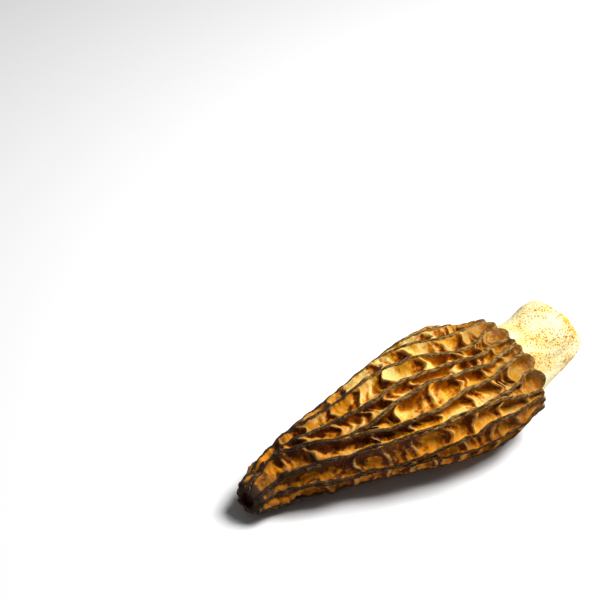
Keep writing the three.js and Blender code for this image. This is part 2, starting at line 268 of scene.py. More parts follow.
def wall_tables():
    """Place, height, slant and bow of every cross wall, by furrow and wall."""
    furrow, wall = np.meshgrid(np.arange(len(FURROWS)), np.arange(PITS + 1), indexing="ij")
    inner = (wall > 0) & (wall < PITS)
    shared = FURROW_SHIFT * (chance("furrow shift", furrow) - 0.5)
    own = WALL_SHIFT * (chance("wall shift", furrow, wall) - 0.5)
    place = (wall + inner * (shared + own)) / PITS
    draw = chance("wall height", furrow, wall)
    height = np.where(draw < SUNK_WALLS, SUNK_HEIGHT, mix(*WALL_HEIGHT, draw))
    height[:, 0] = 1  # the margin
    tilt = inner * WALL_TILT * (chance("wall tilt", furrow, wall) - 0.5) / CAP_LENGTH
    bow = inner * WALL_BOW * (chance("wall bow", furrow, wall) - 0.5) / CAP_LENGTH
    return place, height, tilt, bow


def furrow_depth(girth, width, u):
    """Depth in the middle of a furrow this wide, on a cap of this radius."""
    from_margin = mix(MARGIN_DEPTH, 1, smooth(u, 0, MARGIN_EASE))
    to_tip = mix(1, TIP_DEPTH, smooth(u, TIP_EASE, NET_END))
    room = DEPTH_PER_WIDTH * np.maximum(0, width - RIB_THICKNESS)
    return np.minimum(PIT_DEPTH * girth * from_margin * to_tip, room)


ACROSS = 13  # samples from rib to rib in the fine skin
CREST = 3  # more samples on each rib's crest
ALONG = 24  # samples from wall to wall


def crowded(count):
    """Shares from 0 to 1 that crowd towards both ends."""
    even = np.linspace(0, 1, count)
    return (even + 0.5 - 0.5 * np.cos(np.pi * even)) / 2


# one row of samples for every s of every pit, one column for every x of every furrow: s goes from
# 0 at one wall to 1 at the next, and x from -1 at one rib to 1 at the next
steps = crowded(ALONG + 1)[:-1]
pit = np.append(np.repeat(np.arange(PITS), ALONG), PITS - 1)[:, None]
s = np.append(np.tile(steps, PITS), 1.0)[:, None]
furrow = np.repeat(np.arange(len(FURROWS)), ACROSS)[None, :]
x = np.tile(2 * crowded(ACROSS) - 1, len(FURROWS))[None, :]

# rows follow the walls: they slant, bow and waver between the ribs, though not at the margin
place, height, tilt, bow = wall_tables()
before = [table[furrow, pit] for table in (place, tilt, bow)]
after = [table[furrow, pit + 1] for table in (place, tilt, bow)]
row_place, row_tilt, row_bow = [mix(a, b, s) for a, b in zip(before, after)]
wave_start = WAVER_STARTS * chance("waver", furrow, pit + np.round(s))
waver = WALL_WAVER / CAP_LENGTH * np.sin(WAVER_BEND * x + wave_start)
waver = waver * (1 - x ** 4) * (row_place > 0) * (row_place < 1)
u = NET_END * row_place + 0.5 * x * row_tilt + row_bow * (1 - x * x) + waver * (pit + s > 0.5)
share = 1 - u

angles = rib_angles(u)
rib_start = np.take_along_axis(angles, np.broadcast_to(furrow, u.shape)[None], 0)[0]
rib_end = np.take_along_axis(angles, np.broadcast_to(furrow + 1, u.shape)[None], 0)[0]
turn = rib_end - rib_start
girth = curve_through(CAP_RADIUS, share)
width = turn * girth
thickness = mix(BLADE_THICKNESS, RIB_THICKNESS, smooth(np.abs(x), BLADE_EDGE, 1))
openness = 1 - np.minimum(MOST_RIB, thickness / width)
angle = rib_start + turn * (0.5 + 0.5 * x * openness)
by_start = ((1 - x) / 2) ** 2
by_end = ((1 + x) / 2) ** 2
angle = angle + (rib_wiggle(furrow, u) * by_start + rib_wiggle(furrow + 1, u) * by_end) / girth

# how near the cross wall is, 1 on its crest, and how high that wall is
pit_length = CAP_LENGTH * NET_END * (place[furrow, pit + 1] - place[furrow, pit])
to_wall = np.minimum(s, 1 - s) * pit_length
wall_bump = np.exp(-((to_wall / WALL_THICKNESS) ** WALL_SLOPE))
wall_near = 0.5 * wall_bump + 0.5 * np.abs(2 * s - 1) ** BOWL
wall_top = np.where(s < 0.5, height[furrow, pit], height[furrow, pit + 1])

# painted light and shade: a pale highlight along the crests of walls and folds, and a painted
# shadow in the nook on the tip's side of each
ridge_highlight = np.exp(-((to_wall / RIDGE_WIDTH) ** 2)) * wall_top
past_wall = s * pit_length / NOOK_REACH
nook_shadow = height[furrow, pit] * smooth(past_wall, *WALL_NOOK) * np.exp(-(past_wall ** 2))
fold = 0 * u
for k, usual in enumerate(FOLD_PLACES):
    own = [furrow + 0.5 * k, pit]
    to_far_end = np.where(chance("fold side", *own) < 0.5, -1, 1) * x
    middle = usual + FOLD_STRAY * (chance("fold place", *own) - 0.5) + FOLD_LEAN * to_far_end
    draw = chance("fold", *own)
    high = MOST_FOLD * (draw > FOLDS_MISSING) * mix(LOW_FOLD, 1, draw)
    high = high * (1 - FOLD_DROP + FOLD_DROP * to_far_end)
    high = high * mix(1, LATE_FOLD, smooth(u, *FOLD_WANE))
    fold = fold + high * np.exp(-(((s - middle) / FOLD_WIDTH) ** 2))
    grown = high / MOST_FOLD
    past_fold = (s - middle) * pit_length
    ridge_highlight = np.maximum(ridge_highlight, grown * np.exp(-((past_fold / RIDGE_WIDTH) ** 2)))
    past_fold = past_fold / NOOK_REACH
    fold_nook_shadow = grown * smooth(past_fold, *FOLD_NOOK) * np.exp(-(past_fold ** 2))
    nook_shadow = np.maximum(nook_shadow, fold_nook_shadow)

across = 1 - np.abs(x) ** BOWL
hollow = across * (1 - wall_top * wall_near - fold * (1 - wall_near))
pit_scale = mix(*DEPTH_RANGE, chance("pit depth", furrow, pit))
deepening = mix(1, FINE_DEPTH, smooth(u, *FINE_EASE))
depth = deepening * furrow_depth(girth, width, u) * hollow * mix(pit_scale, 1, wall_near)
dip = mix(rib_dip(furrow, u), rib_dip(furrow + 1, u), 0.5 + 0.5 * x)
radius = girth - dip - depth
from_margin = (pit + s) * pit_length
bulge = SCALLOP * width * openness * (1 - x * x) * np.exp(-(from_margin / SCALLOP_REACH) ** 2)
advance = bulge + slant(angle, u)
crest = smooth(np.abs(x), CREST_EDGE, 1.0) * np.ones_like(u)
wall = np.maximum(wall_near, fold * FOLD_SHOW) * across
ridge_highlight = ridge_highlight * (1 - smooth(u, *RIDGE_END)) * across
tone = chance("pit tone", furrow, pit) * np.ones_like(u)


def with_crests(field, turned=0.0, swell=0.0):
    """Adds the crest's samples after each furrow's: they bridge to where the next one starts."""
    rows = field.shape[0]
    field = field.reshape(rows, len(FURROWS), ACROSS)
    following = np.roll(field[:, :, 0], -1, axis=1)
    following[:, -1] += turned
    between = [
        mix(field[:, :, -1], following, c) + swell * (1 - (2 * c - 1) ** 2)
        for c in np.arange(1, CREST + 1) / (CREST + 1)
    ]
    bridged = np.concatenate([field, np.stack(between, axis=2)], axis=2)
    return bridged.reshape(rows, -1)


angle = with_crests(angle, turned=2 * np.pi)
share = with_crests(share)
u = 1 - share
radius = with_crests(radius, swell=CREST_SWELL)
advance = with_crests(advance)
depth = with_crests(depth)
nook_shadow = with_crests(nook_shadow * (1 - crest))
crest = with_crests(crest)
wall = with_crests(wall)
ridge_highlight = with_crests(ridge_highlight)
tone = with_crests(tone)
from_middle = with_crests(x * np.ones_like(rib_start))


def rough(points, per_mm, seed):
    """Smooth noise of about -1 to 1 at each point, with this many bumps per millimetre."""
    flat = points.reshape(-1, 3) * per_mm + seed
    return np.array([noise.noise(Vector(p)) for p in flat]).reshape(points.shape[:-1])


# the flesh wrinkled as it dried, and most towards the tip; points squeezed along the cap draw the
# bumps out along it, and points squeezed across it draw them out round it
plain = cap_points(share, angle, radius, advance)
lumps = rough(plain, 0.55, seed=3.7)
creases = rough(plain * [0.45, 1, 1], 1.9, seed=11.3)
grain = rough(plain, 4.2, seed=23.1)
puckers = rough(plain * [1.7, 0.45, 0.45], 1.0, seed=51.9)
in_pits = PIT_LUMPS * lumps + PIT_PUCKERS * puckers + PIT_CREASES * creases
on_crests = CREST_LUMPS * lumps + CREST_CREASES * creases
bumps = mix(in_pits, on_crests, crest) + GRAIN_BUMPS * grain
bumps = bumps * (1 + DRIEST_BUMPS * smooth(u, *DRIEST)) * smooth(u, *BUMPS_START)
net = cap_points(share, angle, radius + bumps, advance)

# ---- cap: painted shade ----
# Painted shade: the flesh is painted darker where ribs and walls would shade it from a sun high up
# beyond the stem's end, and where it faces away from that sun.
SUN_WAY = unit(np.array([0.44, -0.08, 0.89]))
SHADE_REACH = 14  # samples
SHADE_STEPS = [(-1, 0), (-2, 1), (-1, 1), (-1, 2), (0, 1)]  # rows, fewer to the margin; columns up
# Flesh shades what lies behind it from the sun: it begins to at the first of these cosines between
# the way to it and the way to the sun, and does it fully at the second
SHADE_EDGE = [0.955, 0.995]
SUNLIT = [-0.1, 0.62]  # sun at which flesh would be wholly in painted shade, and wholly open
CORNER = [0.35, 1]  # where the painted shade's corner begins: a furrow's middle is at 0.5, and its upper rib at 1
HIGH_UP = [0.25, 0.7]  # shares of the cap's height over which flesh turns from low to high up
OPEN_SHADE = [0.28, 0.62]  # share of the painted shade that counts outside a corner, low and high up
NOOK_BY_CORNER = [0.6, 1.25]  # how dark a nook's painted shadow is outside a corner, and in it
NOOK_BY_HEIGHT = [1.6, 1]  # how dark it is low down, and high up
SIDE_SOFTENING = 0.25  # widens the turn from one upper rib to the other, on top and underneath

row = np.arange(net.shape[0])[:, None]
column = np.arange(net.shape[1])[None, :]
uphill = np.where(np.cos(angle) > 0, 1, -1)
shade = np.zeros(net.shape[:2])
for rows_on, columns_up in SHADE_STEPS:
    for step in range(1, SHADE_REACH):
        other_row = np.clip(row + rows_on * step, 0, net.shape[0] - 1)
        gap = net[other_row, (column + columns_up * step * uphill) % net.shape[1]] - net
        rise = (gap @ SUN_WAY) / np.maximum(1e-6, np.linalg.norm(gap, axis=-1))
        shade = np.maximum(shade, smooth(rise, *SHADE_EDGE))
normal = unit(np.cross(np.gradient(net, axis=0), np.gradient(net, axis=1)))
sunlit = np.clip(normal @ SUN_WAY, 0, 1) * (1 - shade)
for axis in (0, 1):
    sunlit = (np.roll(sunlit, 1, axis) + 2 * sunlit + np.roll(sunlit, -1, axis)) / 4
upper_side = np.cos(angle) / (np.abs(np.cos(angle)) + SIDE_SOFTENING)
corner = smooth(0.5 + 0.5 * from_middle * upper_side, *CORNER)
high_up = smooth(net[..., 2] / CAP_TOP, *HIGH_UP)
painted_shade = (1 - smooth(sunlit, *SUNLIT)) * mix(mix(*OPEN_SHADE, high_up), 1, corner)
nook_shadow = nook_shadow * mix(*NOOK_BY_CORNER, corner) * mix(*NOOK_BY_HEIGHT, high_up)

# ---- cap: margin, hollow and tip ----
LIP_THICKNESS = 0.9
LIP_LEAD = 0.15  # how far its inner edge runs ahead of its outer edge
LIP_BULGE = 0.22  # how far it is rounded out between them
LIP_TURNS = [1, 0.75, 0.5, 0.25]  # rings of it: 0 would be the margin, 1 is the inner edge
LIP_STAIN_LOST = 0.8  # share of the margin's stain that is gone at the inner edge
HOLLOW = [0.13, 0.16, 0.24, 0.36, 0.48, 0.6, 0.72, 0.84, 0.905]  # rings of it, tip to margin
HOLLOW_WALL = 1.2  # least flesh between a wide furrow's floor and the hollow
WIDE_FURROW = 9  # its width
BLIND_GIRTH = 0.45  # the hollow's first ring is this share of its girth, and closes in a dome
BLIND_DOME = 1.2
SOCKET_FLOOR = 0.5  # left beyond the stem's root
THROAT = 0.3  # from the cap's margin back to the socket's edge
STEM_ROOT = 4.2  # length of the stem inside the cap's mouth
STEM_GAP = 0.32  # between them
STEM_RADIUS = [8.85, 8.7, 8.2, 7.8, 7.6, 7.6, 7.5, 6.8]  # at equal steps to its open end
# Rings of the rounded nub at the tip and of the small pit in it
NUB_AHEAD = [0.6, -0.5, -1.4, -1.7, -1.45, -0.5, -0.35]  # from the tip towards the margin
NUB_RADIUS = [3.75, 3.4, 2.65, 2.05, 1.6, 1.25, 0.3]
NUB_ROWS = 30
LEADING_ROWS = 7  # between the net and the nub
NUB_EVEN = 0.5  # share of the nub's rows over which its points spread out evenly
NUB_RIB = 0.8  # how far a rib stands out from its edge
NUB_RIB_END = [0.05, 0.4]  # shares of its rows over which the ribs die out
NUB_SOFTENING = 12  # times that the crests are softened before they run into it
NUB_CORE = 2.5  # depth under the tip of the point that its wrinkles stand away from
NUB_WRINKLES = 0.36
NUB_CREASES = 0.08
NUB_WRINKLE_FADE = 6  # rows from either end over which they grow
TIP_SKIN = [0.24, 0.46]  # shares of all rows past the net over which its traits turn into the tip's
TIP_PIT = [0.56, 0.8]  # shares of the nub's rows where the small pit's dark begins and is full
DEEPEST = 2.4  # depth of a pit whose "depth" is 1

margin_angle = angle[0]
margin_slant = slant(margin_angle, 0)


def ring(share, radius, advance):
    """One ring of the hollow: a row of points at the columns' angles."""
    shares = np.full_like(margin_angle, share)
    return cap_points(shares, margin_angle, np.full_like(shares, radius), advance + 0 * shares)


def lip_row(turned):
    """The margin rolled under: 0 is the margin itself, 1 the lip's inner edge."""
    inward = LIP_THICKNESS * np.sin(turned * np.pi / 2)
    ahead = LIP_LEAD * turned + LIP_BULGE * np.sin(turned * np.pi)
    return cap_points(share[0], margin_angle, radius[0] + bumps[0] - inward, advance[0] + ahead)


hollow_rows = []
for k, place_in in enumerate(HOLLOW):
    outer = curve_through(CAP_RADIUS, place_in)
    wall_in = RIB_DIP + furrow_depth(outer, np.array(WIDE_FURROW), 1 - place_in) + HOLLOW_WALL
    girth_in = (outer - wall_in) * (BLIND_GIRTH if k == 0 else 1)
    hollow_rows.append(ring(place_in, girth_in, 0))
mouth = STEM_RADIUS[0] + STEM_GAP
hollow_rows.append(ring(1, mouth, -STEM_ROOT - SOCKET_FLOOR))
hollow_rows.append(ring(1, mouth, margin_slant - THROAT))
hollow_rows += [lip_row(turned) for turned in LIP_TURNS]

# the net's last row leads into the nub, where the ribs die out
tip_centre = cap_centre(np.zeros_like(margin_angle))
tip_onward = unit(cap_centre(np.array([LINE_STEP])) - cap_centre(np.array([0.0])))
even_angle = np.linspace(0, 2 * np.pi, len(margin_angle), endpoint=False) + angle[-1, 0]
soft_crest = crest[-1]
for _ in range(NUB_SOFTENING):
    soft_crest = (np.roll(soft_crest, 1) + 2 * soft_crest + np.roll(soft_crest, -1)) / 4
nub_rows = []
for k in range(NUB_ROWS + 1):
    t = k / NUB_ROWS
    row_angle = mix(angle[-1], even_angle, smooth(t, 0, NUB_EVEN))
    ribs = NUB_RIB * (soft_crest - soft_crest.mean()) * (1 - smooth(t, *NUB_RIB_END))
    row_radius = curve_through(NUB_RADIUS, t) + ribs
    row_ahead = curve_through(NUB_AHEAD, t) + 0 * row_radius
    nub_rows.append(points_round(tip_centre, tip_onward, row_angle, row_radius, row_ahead))
leading = [mix(net[-1], nub_rows[0], t) for t in np.linspace(0, 1, LEADING_ROWS + 2)[1:-1]]
nub = np.array(leading + nub_rows)
rows_tip = len(nub)

nub_wrinkles = NUB_WRINKLES * rough(nub, 0.9, seed=31.7) + NUB_CREASES * rough(nub, 2.2, seed=5.9)
nub_row = np.arange(rows_tip)[:, None]
nub_fade = smooth(nub_row, 0, NUB_WRINKLE_FADE) * smooth(rows_tip - nub_row, 1, NUB_WRINKLE_FADE)
nub_out = unit(nub - tip_centre[:1] - tip_onward * NUB_CORE)
nub = nub + nub_out * (nub_wrinkles * nub_fade)[..., None]
nub[..., 2] = np.maximum(0, nub[..., 2])

skin = np.concatenate([np.array(hollow_rows), net, nub])
rows_in = len(hollow_rows)


def over_skin(values, inside, at_tip):
    """A trait of the net, with one value for the hollow and one for the tip's nub."""
    columns = values.shape[1]
    fades = smooth(np.linspace(0, 1, rows_tip), *TIP_SKIN)
    tip_values = np.array([mix(values[-1], at_tip, fade) for fade in fades])
    return np.concatenate([np.full((rows_in, columns), inside), values, tip_values])


def tube_faces(rows, columns):
    """Four-sided faces between neighbouring rings."""
    here = np.arange(rows * columns).reshape(rows, columns)
    ahead = np.roll(here, -1, axis=1)
    quads = np.stack([here[:-1], here[1:], ahead[1:], ahead[:-1]], axis=-1)
    return quads.reshape(-1, 4).tolist()


def mesh_piece(name, points, faces, traits):
    """A smooth piece of these points, in millimetres, with traits on them, put in the scene."""
    mesh = bpy.data.meshes.new(name)
    mesh.from_pydata((points * MM).tolist(), [], faces)
    mesh.polygons.foreach_set("use_smooth", [True] * len(mesh.polygons))
    for trait, values in traits.items():
        attribute = mesh.attributes.new(trait, "FLOAT", "POINT")
        attribute.data.foreach_set("value", values.astype(np.float32))
    mesh.validate()
    piece = bpy.data.objects.new(name, mesh)
    bpy.context.scene.collection.objects.link(piece)
    return piece


# how much of the margin's stain each ring of the rolled lip keeps
lip = np.zeros(skin.shape[:2])
lip[rows_in - len(LIP_TURNS):rows_in] = 1 - LIP_STAIN_LOST * np.array(LIP_TURNS)[:, None]

# how far down in the tip's small round pit each ring lies, 0 above it and 1 on its floor
tip_pit = np.zeros(skin.shape[:2])
tip_pit[-NUB_ROWS - 1:] = smooth(np.linspace(0, 1, NUB_ROWS + 1), *TIP_PIT)[:, None]

skin_traits = {
    "crest": over_skin(crest, 0, 1),
    "wall": over_skin(wall, 0, 0),
    "depth": over_skin(depth / DEEPEST, 0.5, 0),
    "along": over_skin(u, 0.2, 1),
    "tone": over_skin(tone, 0.5, 0.5),
    "painted_shade": over_skin(painted_shade, 0, 0.3),
    "nook_shadow": over_skin(nook_shadow, 0, 0),
    "ridge_highlight": over_skin(ridge_highlight, 0, 0),
    "height": skin[..., 2] / CAP_TOP,
    "inside": over_skin(0 * u, 1, 0),
    "lip": lip,
    "tip_pit": tip_pit,
}

# the rings close on a point at the hollow's blind end and one on the floor of the tip's pit
ring_count, column_count = skin.shape[:2]
blind_end = ring_count * column_count
pit_floor = blind_end + 1
last_ring = blind_end - column_count
cap_faces = tube_faces(ring_count, column_count)
for k in range(column_count):
    following = (k + 1) % column_count
    cap_faces.append([blind_end, k, following])
    cap_faces.append([pit_floor, last_ring + following, last_ring + k])
end_points = [hollow_rows[0].mean(axis=0) - [BLIND_DOME, 0, 0], nub_rows[-1].mean(axis=0)]
cap_skin = np.concatenate([skin.reshape(-1, 3), end_points])
cap_traits = {
    trait: np.append(values, [values[0, 0], values[-1, -1]])
    for trait, values in skin_traits.items()
}
ribbed_cap = mesh_piece("ribbed_cap", cap_skin, cap_faces, cap_traits)


# ---- cap: its flesh ----
def colour(red, green, blue):
    """A paint chip's red, green and blue, from 0 to 255, as light: the sRGB curve undone."""
    chips = np.array([red, green, blue]) / 255
    light = np.where(chips <= 0.04045, chips / 12.92, ((chips + 0.055) / 1.055) ** 2.4)
    return (*light.tolist(), 1.0)


# Sockets of a colour mix, which has others of the same names for numbers and vectors
UNDER_SOCKET = 6
OVER_SOCKET = 7
BLENDED_SOCKET = 2


class Finish:
    """A material and its nodes; each method adds one node and returns its output."""

    def __init__(self, name, roughness):
        self.material = bpy.data.materials.new(name)
        self.material.use_nodes = True
        self.tree = self.material.node_tree
        self.shader = self.tree.nodes["Principled BSDF"]
        self.shader.inputs["Roughness"].default_value = roughness
        self.shader.inputs["Specular IOR Level"].default_value = 0.35
        texture_place = self.tree.nodes.new("ShaderNodeTexCoord")
        self.place = self.stretched(texture_place.outputs["Object"], [1 / MM] * 3)

    def add(self, kind, output, **inputs):
        """Any node, with its inputs given by name."""
        node = self.tree.nodes.new(kind)
        for name, value in inputs.items():
            self.feed(node.inputs[name.replace("_", " ")], value)
        return node.outputs[output]

    def feed(self, socket, value):
        """Links another node's output to a socket, or sets it to a number or colour."""
        if isinstance(value, bpy.types.NodeSocket):
            self.tree.links.new(value, socket)
        else:
            socket.default_value = value

    def stretched(self, vector, scale):
        return self.add("ShaderNodeMapping", "Vector", Vector=vector, Scale=scale)

    def trait(self, name):
        """A trait of the mesh's points."""
        node = self.tree.nodes.new("ShaderNodeAttribute")
        node.attribute_name = name
        return node.outputs["Fac"]

    def grain(self, per_mm, detail, stretch=None, lean=0.0):
        """Noise from 0 to 1 with this many bumps per millimetre, fewer along a stretched axis."""
        vector = self.place if stretch is None else self.stretched(self.place, stretch)
        return self.add(
            "ShaderNodeTexNoise", "Fac", Vector=vector, Scale=per_mm, Detail=detail, Distortion=lean
        )

    def span(self, value, low, high, to_low=0.0, to_high=1.0):
        """Goes smoothly from to_low to to_high while the value goes from low to high."""
        node = self.tree.nodes.new("ShaderNodeMapRange")
        node.interpolation_type = "SMOOTHSTEP"
        for name, amount in zip(("Value", "From Min", "From Max", "To Min", "To Max"),
                                (value, low, high, to_low, to_high)):
            self.feed(node.inputs[name], amount)
        return node.outputs["Result"]

    def maths(self, operation, a, b):
        """A sum, difference or product, kept from 0 to 1."""
        node = self.tree.nodes.new("ShaderNodeMath")
        node.operation = operation
        node.use_clamp = True
        self.feed(node.inputs[0], a)
        self.feed(node.inputs[1], b)
        return node.outputs["Value"]

    def blend(self, share, under, over):
        """The colour under at a share of 0, and the colour over at 1."""
        node = self.tree.nodes.new("ShaderNodeMix")
        node.data_type = "RGBA"
        self.feed(node.inputs["Factor"], share)
        self.feed(node.inputs[UNDER_SOCKET], under)
        self.feed(node.inputs[OVER_SOCKET], over)
        return node.outputs[BLENDED_SOCKET]

    def relief(self, height, strength, rise, under=None):
        """Light and shade of bumps that rise this many millimetres, on top of those under them."""
        node = self.tree.nodes.new("ShaderNodeBump")
        node.inputs["Strength"].default_value = strength
        node.inputs["Distance"].default_value = rise * MM
        self.feed(node.inputs["Height"], height)
        if under is not None:
            self.feed(node.inputs["Normal"], under)
        return node.outputs["Normal"]

    def wear(self, piece):
        piece.data.materials.append(self.material)


CREAM = colour(202, 176, 104)
GOLD = colour(196, 142, 30)
AMBER = colour(174, 92, 2)
ORANGE = colour(206, 114, 4)
RUSSET = colour(156, 96, 2)
DEEP_BROWN = colour(60, 16, 0)
UMBER = colour(92, 56, 16)
CHARCOAL = colour(48, 33, 17)
RIB_TAUPE = colour(100, 72, 34)
RIB_TAN = colour(150, 120, 70)
TIP_BLACK = colour(46, 34, 25)
TIP_FLECK = colour(116, 88, 58)
HIGHLIGHT_TAN = colour(186, 154, 88)
POCKET_BROWN = colour(108, 66, 10)
TIP_GOLD = colour(206, 126, 8)
CHERRY = colour(52, 12, 4)

flesh = Finish("dried_cap_flesh", 0.5)
flesh.shader.inputs["Specular IOR Level"].default_value = 0.07
flesh.shader.inputs["Subsurface Weight"].default_value = 0.15
flesh.shader.inputs["Subsurface Radius"].default_value = (1, 0.35, 0.1)
flesh.shader.inputs["Subsurface Scale"].default_value = 1.0 * MM
along = flesh.trait("along")

# pits: cream where open to the sun and gold in painted shade, with walls and folds painted paler
# as a highlight, orange low down as painted shade on the side turned from the light, and russet
# towards the tip; then amber and deep brown as painted shade where they are well sheltered, and
# as a painted shadow in the nooks
cloud = flesh.grain(0.32, detail=3)
mottle = flesh.grain(1.3, detail=5)
painted_shade_edge = flesh.maths("ADD", flesh.trait("painted_shade"), flesh.span(mottle, 0.3, 0.7, -0.12, 0.08))
painted_shade_and_tone = flesh.maths("ADD", painted_shade_edge, flesh.span(cloud, 0.35, 0.65, 0, 0.2))
painted_shade_and_tone = flesh.maths("ADD", painted_shade_and_tone, flesh.span(flesh.trait("tone"), 0, 1, 0, 0.2))
pit_colour = flesh.blend(flesh.span(painted_shade_and_tone, 0.05, 0.4), CREAM, GOLD)
pit_colour = flesh.blend(flesh.span(flesh.trait("wall"), 0.4, 0.9, 0, 0.4), pit_colour, CREAM)
lowness = flesh.maths("ADD", flesh.trait("height"), flesh.span(cloud, 0.3, 0.7, -0.12, 0.12))
pit_colour = flesh.blend(flesh.span(lowness, 0.7, 0.3, 0, 0.6), pit_colour, ORANGE)
ripening = flesh.maths("ADD", along, flesh.span(cloud, 0.3, 0.7, -0.12, 0.12))
pit_colour = flesh.blend(flesh.span(ripening, 0.4, 0.8, 0, 0.9), pit_colour, RUSSET)
pit_colour = flesh.blend(flesh.span(painted_shade_edge, 0.25, 0.7, 0, 0.8), pit_colour, AMBER)
pit_colour = flesh.blend(flesh.span(painted_shade_edge, 0.55, 0.95, 0, 0.85), pit_colour, DEEP_BROWN)
nook_shadow_edge = flesh.maths("ADD", flesh.trait("nook_shadow"), flesh.span(mottle, 0.3, 0.7, -0.16, 0.12))
pit_colour = flesh.blend(flesh.span(nook_shadow_edge, 0.06, 0.34, 0, 0.9), pit_colour, AMBER)
pit_colour = flesh.blend(flesh.span(nook_shadow_edge, 0.2, 0.56, 0, 0.94), pit_colour, DEEP_BROWN)

# the last pits before the tip are golden again, and in the tip's half and low down the painted
# shade is darkest, in deep brown
pit_colour = flesh.blend(flesh.span(along, 0.82, 0.9, 0, 0.85), pit_colour, TIP_GOLD)
pools = flesh.span(flesh.grain(0.42, detail=2), 0.35, 0.65, -0.16, 0.2)
dusk_edge = flesh.span(flesh.maths("ADD", painted_shade_edge, pools), 0.24, 0.5)
low_down = flesh.span(lowness, 0.5, 0.25, 0, 0.8)
dusk_zone = flesh.maths("ADD", flesh.span(ripening, 0.32, 0.66), low_down)
dusk = flesh.maths("MULTIPLY", dusk_zone, dusk_edge)
pit_colour = flesh.blend(flesh.maths("MULTIPLY", dusk, 0.94), pit_colour, DEEP_BROWN)

# grit, streaks and specks in all pits, and a pale tan painted highlight along the crests of their
# walls and folds
grit = flesh.grain(3.2, detail=4, stretch=(1, 0.6, 0.6))
pit_colour = flesh.blend(flesh.span(grit, 0.54, 0.72, 0, 0.35), pit_colour, AMBER)
streaks = flesh.grain(1.6, detail=4, stretch=(0.5, 1, 1))
pit_colour = flesh.blend(flesh.span(streaks, 0.6, 0.78, 0, 0.35), pit_colour, UMBER)
specks = flesh.grain(3.1, detail=1)
pit_colour = flesh.blend(flesh.span(specks, 0.74, 0.8, 0, 0.8), pit_colour, DEEP_BROWN)
ridge_highlight_edge = flesh.maths("ADD", flesh.trait("ridge_highlight"), flesh.span(grit, 0.35, 0.65, -0.2, 0.1))
pit_colour = flesh.blend(flesh.span(ridge_highlight_edge, 0.3, 0.75, 0, 0.75), pit_colour, HIGHLIGHT_TAN)

# ribs: charcoal, with lengthwise streaks and flecks of taupe and tan, paler high up as painted
# light from above, and black with a few pale flecks towards the tip
fibres = flesh.grain(2.8, detail=8, stretch=(0.3, 1, 1))
flecks = flesh.grain(2.6, detail=6)
patches = flesh.grain(0.5, detail=3)
streaks_and_top_light = flesh.maths("ADD", fibres, flesh.span(flesh.trait("height"), 0.35, 0.9, -0.06, 0.09))
rib_colour = flesh.blend(flesh.span(streaks_and_top_light, 0.42, 0.6), CHARCOAL, RIB_TAUPE)
rib_colour = flesh.blend(flesh.span(streaks_and_top_light, 0.56, 0.7, 0, 0.5), rib_colour, RIB_TAN)
rib_colour = flesh.blend(flesh.span(flecks, 0.58, 0.72, 0, 0.55), rib_colour, RIB_TAN)
rib_colour = flesh.blend(flesh.span(patches, 0.48, 0.66, 0, 0.7), rib_colour, CHARCOAL)
tip_flecks = flesh.grain(1.1, detail=5)
tip_colour = flesh.blend(flesh.span(tip_flecks, 0.56, 0.72, 0, 0.7), TIP_BLACK, TIP_FLECK)
charring = flesh.span(ripening, 0.4, 0.78)
rib_colour = flesh.blend(charring, rib_colour, tip_colour)

# the skin: pits and ribs meet in a ragged edge with an umber stain, and towards the tip both spread
# over the pits, the shallows first; behind the margin the flesh is stained brown, and the margin's
# edge is as dark as a rib
ragged = flesh.grain(0.8, detail=5)
edge = flesh.maths("ADD", flesh.trait("crest"), flesh.span(ragged, 0.3, 0.7, -0.22, 0.14))
edge = flesh.maths("ADD", edge, flesh.span(ripening, 0.45, 0.95, 0, 0.52))
stain_reach = flesh.span(edge, 0.3, 0.8, 0, 0.8)
skin_colour = flesh.blend(stain_reach, pit_colour, UMBER)
margin_stain = flesh.maths("ADD", along, flesh.span(ragged, 0.3, 0.7, -0.04, 0.03))
skin_colour = flesh.blend(flesh.span(margin_stain, 0.34, 0.02, 0, 0.7), skin_colour, POCKET_BROWN)
skin_colour = flesh.blend(flesh.span(along, 0.012, 0.004, 0, 0.9), skin_colour, rib_colour)
shallows = flesh.span(flesh.trait("depth"), 0.2, 0.04, 0, 0.5)
char_reach = flesh.maths("MULTIPLY", charring, shallows)
skin_colour = flesh.blend(char_reach, skin_colour, tip_colour)
skin_colour = flesh.blend(flesh.span(edge, 0.5, 0.78), skin_colour, rib_colour)

# inside: cream and gold, gritty, with a brown stain that fades inward over the rolled lip
inner_colour = flesh.blend(flesh.span(cloud, 0.35, 0.6), CREAM, GOLD)
inner_colour = flesh.blend(flesh.span(grit, 0.46, 0.66, 0, 0.6), inner_colour, AMBER)
inner_colour = flesh.blend(flesh.span(specks, 0.6, 0.7, 0, 0.7), inner_colour, UMBER)
lip_edge = flesh.maths("ADD", flesh.trait("lip"), flesh.span(ragged, 0.3, 0.7, -0.15, 0.15))
inner_colour = flesh.blend(flesh.span(lip_edge, 0.1, 0.7, 0, 0.9), inner_colour, UMBER)
skin_colour = flesh.blend(flesh.trait("inside"), skin_colour, inner_colour)
skin_colour = flesh.blend(flesh.trait("tip_pit"), skin_colour, CHERRY)
flesh.feed(flesh.shader.inputs["Base Color"], skin_colour)

# ribs are dry and rough, pits faintly waxy, and the tip's small pit shines most
dryness = flesh.span(edge, 0.3, 0.7, 0.5, 0.9)
dryness = flesh.maths("SUBTRACT", dryness, flesh.span(flesh.trait("tip_pit"), 0, 1, 0, 0.6))
flesh.feed(flesh.shader.inputs["Roughness"], dryness)

